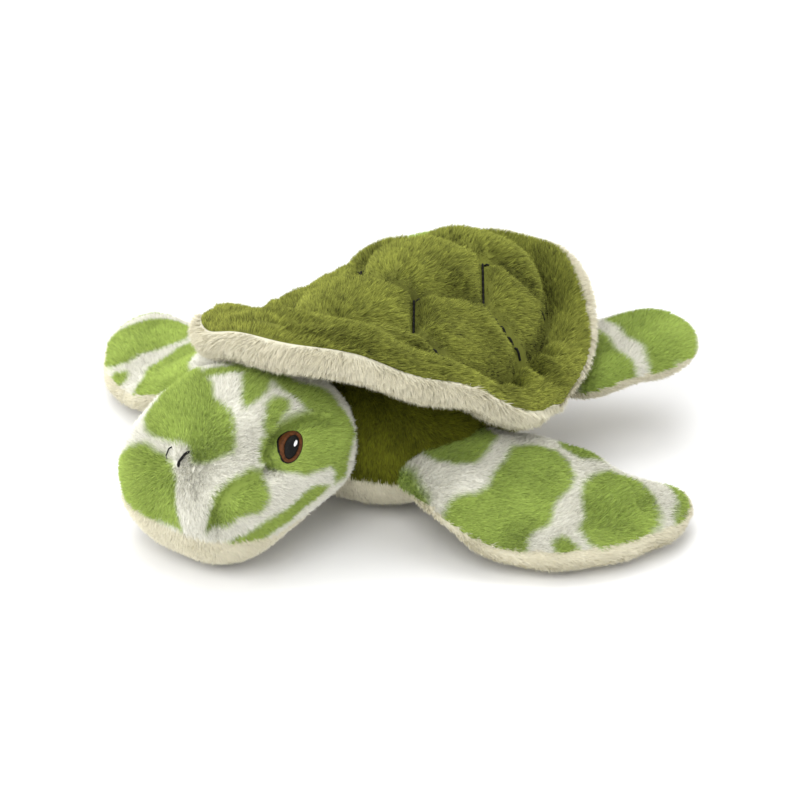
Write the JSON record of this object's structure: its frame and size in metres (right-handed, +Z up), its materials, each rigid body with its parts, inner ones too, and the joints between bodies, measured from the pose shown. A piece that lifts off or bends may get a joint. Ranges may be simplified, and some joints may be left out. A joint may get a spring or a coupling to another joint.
{
  "type": "plush sea turtle",
  "caption": "Stuffed sea turtle lying on its belly: quilted domed shell with a soft rolled brim, blunt head with embroidered eyes, broad spotted flippers that flap on sewn roots.",
  "frame": {"origin": "on the floor under the widest place of the body, in the middle of the flat of the belly", "axes": "+Z up, -Y towards the nose, +X towards the turtle's own left side"},
  "size_m": [0.3068, 0.2585, 0.0926],
  "materials": {
    "olive_plush": "long pile",
    "dark_olive_plush": "short pile",
    "cream_plush": "short pile",
    "printed_plush": "short pile, white printed with green spots",
    "stuffing": "loose fibre",
    "brown_thread": "satin stitch",
    "black_thread": "satin stitch",
    "white_thread": "satin stitch"
  },
  "bodies": {
    "body": {"body_back": "dark_olive_plush", "belly": "cream_plush", "body_filling": "stuffing", "shell_top": "olive_plush", "shell_lining": "cream_plush", "shell_wadding": "stuffing"},
    "head": {"head_crown": "printed_plush", "head_cheek_left": "printed_plush", "head_cheek_right": "printed_plush", "chin": "cream_plush", "head_filling": "stuffing", "eye_iris_left": "brown_thread", "eye_pupil_left": "black_thread", "eye_glint_left": "white_thread", "eye_iris_right": "brown_thread", "eye_pupil_right": "black_thread", "eye_glint_right": "white_thread"},
    "front_left": {"front_left_top": "printed_plush", "front_left_sole": "cream_plush", "front_left_filling": "stuffing"},
    "front_right": {"front_right_top": "printed_plush", "front_right_sole": "cream_plush", "front_right_filling": "stuffing"},
    "rear_left": {"rear_left_top": "printed_plush", "rear_left_sole": "cream_plush", "rear_left_filling": "stuffing"},
    "rear_right": {"rear_right_top": "printed_plush", "rear_right_sole": "cream_plush", "rear_right_filling": "stuffing"}
  },
  "joints": [
    {"name": "neck_nod", "type": "hinge", "parent": "body", "child": "head", "pos_m": [0, 0, 0.033], "axis": [-1, 0, 0], "range_deg": [-14, 3], "stiffness_Nm_per_rad": 0.6},
    {"name": "front_left_flap", "type": "hinge", "parent": "body", "child": "front_left", "pos_m": [0.0702, -0.00289, 0.027], "axis": [-0.0967, -0.9953, 0], "range_deg": [-20, 30], "stiffness_Nm_per_rad": 0.1},
    {"name": "front_right_flap", "type": "hinge", "parent": "body", "child": "front_right", "pos_m": [-0.0702, -0.00289, 0.027], "axis": [-0.0967, 0.9953, 0], "range_deg": [-20, 30], "stiffness_Nm_per_rad": 0.1},
    {"name": "rear_left_flap", "type": "hinge", "parent": "body", "child": "rear_left", "pos_m": [0.04558, 0.09149, 0.034], "axis": [0.5643, -0.8256, 0], "range_deg": [-25, 18], "stiffness_Nm_per_rad": 0.06},
    {"name": "rear_right_flap", "type": "hinge", "parent": "body", "child": "rear_right", "pos_m": [-0.04558, 0.09149, 0.034], "axis": [0.5643, 0.8256, 0], "range_deg": [-25, 18], "stiffness_Nm_per_rad": 0.06}
  ]
}
